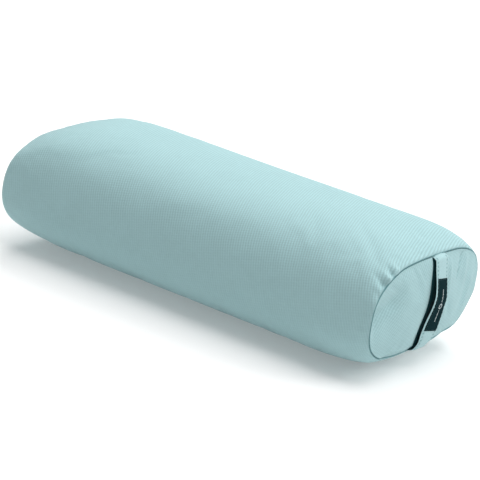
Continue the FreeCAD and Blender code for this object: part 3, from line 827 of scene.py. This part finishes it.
def needle_holes(run, across):
    """1 at the middle of each hole that the topstitching makes, 0 away from them. It dents the strap, and it
    sets the painted shade that darkens each hole.
    """
    to_hole = (np.mod(run / STITCH_PITCH + 0.5, 1.0) - 0.5) * STITCH_PITCH
    return sum(bump(np.hypot(to_hole, across - row), 1.1 * MM) for row in STITCH_ROWS)


def strap_surface(run, across):
    """Height of the strap's outer face: rounded at the edges, dented along the stitching."""
    edge = STRAP_WIDTH / 2 - np.abs(across)
    height = STRAP_THICKNESS * (0.55 + 0.45 * smooth(edge / (2.2 * MM)))
    for row in STITCH_ROWS:
        height = height - 0.3 * MM * bump(across - row, 1.2 * MM)
    pucker = 0.16 * MM * np.sin(run / STITCH_PITCH * TURN) * bump(edge - 3.6 * MM, 3 * MM)
    return height + pucker - 0.5 * MM * needle_holes(run, across)


def blended(obj, start_run, end_run):
    """Bakes the piece's place into its mesh. It works out the strap's points at the sewn end and at the
    start of the free loop, but does not use them.
    """
    start, end = [(SEAM_X, 0.0, float(on_strap(run, 0.0, 0.0)[2])) for run in (start_run, end_run)]
    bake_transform(obj)


BEND_LENGTH = 30 * MM


def strap_half(name, first, last, root_run, direction):
    """One half of the strap, a closed band from its sewn end to under the label."""
    runs = np.linspace(first, last, 130)[:, None]
    half = STRAP_WIDTH / 2
    across = np.concatenate([[-half], np.linspace(-half + 0.35 * MM, half - 0.35 * MM, 56), [half]])
    outer = on_strap(runs, across, strap_surface(runs, across))
    inner_lift = 0.45 * STRAP_THICKNESS * (1 - smooth((half - np.abs(across)) / (2.2 * MM)))
    loops = np.concatenate([outer, on_strap(runs, across[::-1], inner_lift[::-1])], axis=1)
    faces = closed_faces(*loops.shape[:2], flip=True)
    obj = new_object(name, loops.reshape(-1, 3), faces, STRAP_CANVAS_PAINTED_LIGHT)
    # painted shade: each needle hole is darkened in the strap's colour, where shade falls in it
    painted_hole_shadow = needle_holes(runs, across)
    store(obj, np.append(across, across[::-1] + 0.5), runs, np.append(painted_hole_shadow, 0 * painted_hole_shadow, axis=1))
    blended(obj, root_run, root_run + direction * BEND_LENGTH)
    return obj


STITCH_RINGS = np.array([-1.0, -0.8, -0.35, 0.0, 0.35, 0.8, 1.0])[:, None]
STITCH_SIDES = 8


def capsules(centres, directions, ups, length, radius):
    """Short rounded stitches that dip into the cloth at both ends: vertices and faces of one mesh."""
    angle = round_angles(STITCH_SIDES)
    size = radius * np.sqrt(np.maximum(0.05, 1 - np.abs(STITCH_RINGS) ** 3))
    lengthwise = STITCH_RINGS * length / 2
    upward = 0.6 * size * np.sin(angle) - 1.3 * radius * STITCH_RINGS ** 2
    shape = np.stack(np.broadcast_arrays(lengthwise, upward, size * np.cos(angle)))
    axes = np.stack([directions, ups, np.cross(directions, ups)], 1)
    points = (centres[:, None, None] + np.einsum("nak,ars->nrsk", axes, shape)).reshape(-1, 3)
    pattern = closed_faces(len(STITCH_RINGS), STITCH_SIDES)
    starts = range(0, len(points), shape[0].size)
    return points, [tuple(start + i for i in face) for start in starts for face in pattern]


def stitches_on_strap(runs, across, lift, length, radius, crosswise=False):
    """Stitches lying on the strap; crosswise ones run across it."""
    centres = on_strap(runs, across, lift)
    step = 0.2 * MM
    along = unit(on_strap(np.asarray(runs) + step, across, lift) - centres)
    over = unit(on_strap(runs, np.asarray(across) + step, lift) - centres)
    up = np.cross(along, over)
    up *= np.sign(up[..., :1] + 1e-9)
    return capsules(centres, over if crosswise else along, up, length, radius)


def build_strap():
    upper = strap_half("strap_upper", 0.0, MIDDLE_RUN, TOP_RUN, 1)
    lower = strap_half("strap_lower", MIDDLE_RUN, ROUTE_RUN[-1], BOTTOM_RUN, -1)
    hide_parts("handle_top_root", "handle_grip", "handle_top_tail")
    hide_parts("handle_bottom_root", "handle_bottom_tail")
    runs = np.arange(math.ceil(TOP_RUN / STITCH_PITCH) + 0.5, BOTTOM_RUN / STITCH_PITCH - 0.2) * STITCH_PITCH
    runs = runs[(runs < LABEL_TOP - 2 * MM) | (runs > LABEL_BOTTOM + 2 * MM)]
    for side, row in zip(("left", "right"), STITCH_ROWS):
        for part, chosen, root, direction in (
            ("upper", runs[runs < MIDDLE_RUN], TOP_RUN, 1),
            ("lower", runs[runs >= MIDDLE_RUN], BOTTOM_RUN, -1),
        ):
            sway = row + random.normal(0, 0.12 * MM, len(chosen))
            lift = strap_surface(chosen, np.full(len(chosen), row)) + 0.12 * MM
            vertices, faces = stitches_on_strap(chosen, sway, lift, STITCH_LENGTH, 0.42 * MM)
            obj = new_object(f"strap_stitches_{side}_{part}", vertices, faces, THREAD)
            blended(obj, root, root + direction * BEND_LENGTH)
            if part == "upper":
                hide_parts(f"handle_topstitch_{side}")


build_strap()


# ---- woven label
LABEL_WIDTH = label_high.y - label_low.y
LABEL_THICKNESS = 0.7 * MM
LABEL_SHEAR = 0.13  # the label is sewn on a little askew: its left edge is higher


def label_edge(run):
    """The label's edge wanders a little between its stitches."""
    teeth = 0.35 * MM * np.sin(run / (2.8 * MM) * math.pi)
    return LABEL_WIDTH / 2 + 0.5 * MM + teeth + 0.2 * MM * np.sin(run * 310)


def label_surface(run, across):
    """Height of the label's face: it thins toward its edge, and its stitches dent it."""
    near_end = np.minimum(run - LABEL_TOP, LABEL_BOTTOM - run)
    edge = np.minimum(label_edge(run) - np.abs(across), near_end)
    base = STRAP_THICKNESS + 0.12 * MM
    swell = LABEL_THICKNESS * (0.35 + 0.65 * smooth(edge / (0.9 * MM)))
    dent = 0.25 * MM * bump(edge - 1.5 * MM, 0.6 * MM)
    return base + swell - dent


def join(meshes):
    """Vertices and faces of several meshes as those of one."""
    vertices, faces = [], []
    for points, found in meshes:
        faces += [tuple(len(vertices) + i for i in face) for face in found]
        vertices += list(points)
    return vertices, faces


def build_label_cloth():
    runs = np.linspace(LABEL_TOP, LABEL_BOTTOM, 150)[:, None]
    unit_across = np.concatenate([[-1.0], np.linspace(-0.985, 0.985, 60), [1.0]])
    across = unit_across * label_edge(runs)
    askew = runs + LABEL_SHEAR * across
    outer = on_strap(askew, across, label_surface(runs, across))
    under = on_strap(askew[:, ::-1], across[:, ::-1], STRAP_THICKNESS - 0.3 * MM)
    loops = np.concatenate([outer, under], axis=1)
    faces = closed_faces(*loops.shape[:2], flip=True)
    label = new_object("label_cloth", loops.reshape(-1, 3), faces, LABEL, "handle_loop", "label_fabric")
    store(label, np.append(across, across[:, ::-1], axis=1), runs)
    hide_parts("woven_label")


def build_label_stitches():
    """Small stitches round the label's edge."""
    pitch, inset = 2.6 * MM, 1.5 * MM

    def row(run, place, crosswise):
        lift = label_surface(run, place) + 0.14 * MM
        return stitches_on_strap(run + LABEL_SHEAR * place, place, lift, 1.9 * MM, 0.24 * MM, crosswise)

    runs = np.arange(LABEL_TOP + inset, LABEL_BOTTOM - inset, pitch)
    places = np.arange(-LABEL_WIDTH / 2 + inset, LABEL_WIDTH / 2 - inset, pitch)
    rows = [row(runs, sign * (label_edge(runs) - inset), False) for sign in (-1, 1)]
    for run in (LABEL_TOP + inset, LABEL_BOTTOM - inset):
        rows.append(row(np.full(len(places), run), places, True))
    edge = new_object("label_edge_stitches", *join(rows), LABEL_EDGE, "handle_loop", "sewing_thread")
    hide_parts("label_stitching")


def build_label_device():
    """A plain woven device: a ring between two lines of short bars."""
    middle = (LABEL_TOP + LABEL_BOTTOM) / 2
    lift = STRAP_THICKNESS + LABEL_THICKNESS + 0.18 * MM

    def satin(run, across, length, crosswise):
        return stitches_on_strap(np.array([run]), np.array([across]), lift, length, 0.6 * MM, crosswise)

    stitches = []
    for angle in round_angles(22):
        run, across = middle + 3.4 * MM * math.sin(angle), 2.8 * MM * math.cos(angle)
        stitches.append(satin(run, across, 1.7 * MM, False))
    for direction in (-1, 1):
        for step in range(9):
            run = middle + direction * (6.6 + 1.9 * step) * MM
            stitches.append(satin(run, 0.0, (3.2 - 1.2 * (step % 3 == 1)) * MM, True))
    motif = new_object("label_device", *join(stitches), MOTIF, "handle_loop", "label_thread")
    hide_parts("label_motif")


build_label_cloth()
build_label_stitches()
build_label_device()


# ---- painted shadow: a dark sheet on the end panel under the strap, where the strap's shadow falls
PAINTED_SHADOW_SPREAD = 1.5 * MM  # how far the painted shadow sheet shows past the strap's left edge
# painted shadow: a near-black teal standing in for the deep shade under the strap
PAINTED_STRAP_SHADOW = label_weave("painted_strap_shadow_material", (0.008, 0.040, 0.046))


def build_painted_strap_shadow():
    """Painted shadow: a dark sheet laid on the end panel under the strap, where the strap's shadow falls."""
    z = np.linspace(SEAM_Z + SEAM_HEIGHT / 2 - 0.6 * MM, SEAM_Z - SEAM_HEIGHT / 2 + 0.6 * MM, 110)
    half = STRAP_WIDTH / 2
    across = np.linspace(-half - PAINTED_SHADOW_SPREAD, half + 0.4 * MM, 46)
    y = STRAP_MIDDLE + across + STRAP_TURN * (STRAP_BEND_Z - z[:, None])
    y, height = np.broadcast_arrays(y, z[:, None])
    edge = np.minimum(across + half + PAINTED_SHADOW_SPREAD, half + 0.4 * MM - across)
    lift = 0.5 * MM + 0.7 * MM * smooth(edge / (1.2 * MM)) - 0.2 * MM * bump(edge - 2.2 * MM, 0.8 * MM)
    rows = np.stack([end_face(1, y, height) + lift, y, height], 2)
    # this sheet paints the strap's shadow on the end panel
    tape = sheet("painted_strap_shadow_sheet", rows, 0.8 * MM, PAINTED_STRAP_SHADOW, "label_fabric", flip=True)
    store(tape, across, z[:, None])
    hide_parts("handle_backing")


build_painted_strap_shadow()


# ---- seam allowances
def build_allowances():
    """The cloth turned in behind each end seam, which follows the seam's line."""
    shares = np.linspace(0, 1, 240, endpoint=False)
    away = np.linspace(12 * MM, 2.5 * MM, 10)
    for side, end in ((1, "handle"), (-1, "plain")):
        stations = np.sort(side * (1 - away / SEAM_X))
        rows = finished_tube(stations, shares) - normals_of(tube_points(stations, shares)) * 3.4 * MM
        ring = sheet(f"{end}_end_turned_seam", rows, 1.0 * MM, COVER, "cover_fabric", closed=True)
        store(ring, stations[:, None] * SEAM_X, shares * PERIMETER)
        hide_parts(f"{end}_end_seam_allowance")


build_allowances()


# ---- zip
SLOT_SHARE = SLOT / PERIMETER
ZIP_STITCH = 3.0 * MM
# The folded edge beside the slot: distance outward and away from the slot, in mm.
FOLD_PROFILE = ((0.15, 0.4), (-0.35, -0.25), (-1.3, -0.45), (-2.2, 0.1), (-2.7, 1.4), (-2.9, 4.0))


def build_zip_fold(side, sign):
    """The cover's edge folded in to the tape, with painted shade darkening it toward the slot."""
    x = np.linspace(-ZIP_HALF, ZIP_HALF, 160)
    edge = on_cover(x, ZIP_SHARE + sign * SLOT_SHARE)
    profile = np.array(FOLD_PROFILE) * MM
    rows = np.stack([edge + np.array([0, outward_y, sign * away]) for outward_y, away in profile], 1)
    fold = sheet(f"zip_fold_{side}", rows, 0.8 * MM, COVER, "cover_fabric", flip=sign > 0)
    # the third value is painted shade, growing toward the slot where shade falls in the fold
    store(fold, x[:, None], np.arange(len(profile)) * MM, np.linspace(0, 0.7, len(profile)))


def build_zip_stitches(side, sign):
    """The topstitching beside the slot."""
    places = np.arange(-ZIP_HALF + 2 * MM, ZIP_HALF - 1 * MM, ZIP_STITCH)
    share = ZIP_SHARE + sign * (SLOT_SHARE + 2.4 * MM / PERIMETER)
    centres = on_cover(places, share)
    along = on_cover(places + 0.3 * MM, share) - centres
    around = on_cover(places, share + 0.5 * MM / PERIMETER) - centres
    ups = unit(np.cross(around, along))
    ups *= np.sign(ups[:, 1:2])
    mesh = capsules(centres + ups * 0.1 * MM, unit(along), ups, 2.1 * MM, 0.3 * MM)
    new_object(f"zip_topstitch_{side}", *mesh, THREAD, "pillow", "sewing_thread")


def build_zip_tape(side):
    low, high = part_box(f"zip_tape_{side}")
    x, z = np.linspace(low.x, high.x, 200)[:, None], np.linspace(low.z, high.z, 14)
    rib = 0.12 * MM * np.sin((z - low.z) / (1.7 * MM) * TURN)
    rows = np.stack(np.broadcast_arrays(x, high.y - 0.15 * MM + rib, z), 2)
    tape = sheet(f"zip_tape_cloth_{side}", rows, 0.5 * MM, TAPE, "zip_tape", flip=True)
    store(tape, x, z)
    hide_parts(f"zip_tape_{side}")


def build_coil(side, sign):
    """One nylon coil, a flattened spiral whose turns lock into the other's."""
    low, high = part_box(f"zip_coil_{side}")
    pitch, steps, sides, wire = 1.8 * MM, 10, 6, 0.34 * MM
    turns = int((high.x - low.x) / pitch)
    turn = np.arange(turns * steps) / steps + (0.5 if sign > 0 else 0.0)
    angle = turn * TURN
    middle_z = (low.z + high.z) / 2 - sign * 0.25 * MM
    centres = np.stack([
        low.x + turn * pitch * (high.x - low.x) / ((turns + 0.5) * pitch),
        (low.y + high.y) / 2 + 0.55 * MM * np.sin(angle), middle_z + 0.95 * MM * np.cos(angle),
    ], 1)
    tangent = unit(np.gradient(centres, axis=0))
    first = unit(np.cross(tangent, (1.0, 0, 0)))
    second = np.cross(tangent, first)
    a = round_angles(sides)[:, None]
    rows = centres[:, None] + wire * (first[:, None] * np.cos(a) + second[:, None] * np.sin(a))
    faces = closed_faces(len(centres), sides)
    coil = new_object(f"zip_teeth_{side}", rows.reshape(-1, 3), faces, COIL, "pillow", "zip_coil")
    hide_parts(f"zip_coil_{side}")


def finished(node, name, body, edge):
    """A copy of a metal CAD piece in the same place, with softened edges."""
    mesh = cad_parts[node].data.copy()
    dress(mesh, METAL)
    shape = bmesh.new()
    shape.from_mesh(mesh)
    bmesh.ops.remove_doubles(shape, verts=shape.verts, dist=0.01 * MM)
    bmesh.ops.dissolve_limit(shape, angle_limit=0.02, verts=shape.verts, edges=shape.edges)
    shape.to_mesh(mesh)
    shape.free()
    mesh.shade_smooth()
    obj = linked(name, mesh)
    bevel = obj.modifiers.new("edges", "BEVEL")
    configure(bevel, width=edge, segments=3, limit_method="ANGLE", harden_normals=True)
    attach(obj, body)
    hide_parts(node)


def build_zip():
    for side, sign in (("upper", 1), ("lower", -1)):
        build_zip_fold(side, sign)
        build_zip_stitches(side, sign)
        build_zip_tape(side)
        build_coil(side, sign)
    finished("zip_top_stop", "zip_stop_at_handle_end", "pillow", 0.35 * MM)
    finished("zip_bottom_stop", "zip_stop_at_plain_end", "pillow", 0.35 * MM)
    finished("zip_slider", "zip_slider_body", "zip_slider", 0.3 * MM)
    finished("zip_pull", "zip_pull_tab", "zip_pull", 0.3 * MM)


build_zip()


# ---- filling, inside the cover
def paint(material, *nodes):
    """Puts a finish on CAD pieces that are shown as they are."""
    for node in nodes:
        dress(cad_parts[node].data, material)


paint(LINER, "liner_tube", "liner_handle_end", "liner_plain_end")
paint(BATTING, "batting_wrap", "batting_handle_end", "batting_plain_end")
paint(FOAM, "foam_core")


# ---- stage, light, camera
def area_light(name, location, size, power):
    """A round soft light that looks at the pillow."""
    data = bpy.data.lights.new(name, "AREA")
    configure(data, shape="DISK", size=size, energy=power)
    obj = linked(name, data)
    obj.location = location
    obj.rotation_mode = "QUATERNION"
    obj.rotation_quaternion = (Vector((0, 0, 0.1)) - Vector(location)).to_track_quat("-Z", "Y")


def stage():
    size = 30.0
    corners = [(-size, -size, 0), (size, -size, 0), (size, size, 0), (-size, size, 0)]
    floor = new_object("floor", corners, [(0, 1, 2, 3)], FLOOR)
    world = bpy.data.worlds.new("studio")
    world.use_nodes = True
    sky = world.node_tree.nodes["Background"].inputs
    sky["Color"].default_value = (1, 1, 1, 1)
    sky["Strength"].default_value = 0.28
    bpy.context.scene.world = world
    area_light("above", (0.45, 0, 3.0), 3.0, 72)
    area_light("behind_handle_end", (2.2, 1.4, 1.8), 1.6, 34)
    area_light("behind_plain_end", (-1.6, 1.8, 2.4), 1.6, 50)
    bpy.context.scene.view_settings.view_transform = "Standard"


def camera():
    """The photograph's viewpoint: a long lens, low over the handle end's corner, tilted a little."""
    around, above, roll = map(math.radians, (58.8, 17.6, 10.3))
    distance = 3.0405
    back = Vector((math.cos(around) * math.cos(above), -math.sin(around) * math.cos(above), math.sin(above)))
    right = (-back).cross(Vector((0, 0, 1))).normalized()
    up = right.cross(-back)
    across = right * math.cos(roll) + up * math.sin(roll)
    upward = up * math.cos(roll) - right * math.sin(roll)
    data = bpy.data.cameras.new("camera")
    configure(data, lens=165, sensor_width=36)
    obj = linked("camera", data)
    obj.matrix_world = Matrix((across, upward, back)).transposed().to_4x4()
    obj.location = Vector((0, 0, 0.08)) + back * distance + across * 4.2 * MM - upward * 0.3 * MM
    bpy.context.scene.camera = obj


stage()
camera()
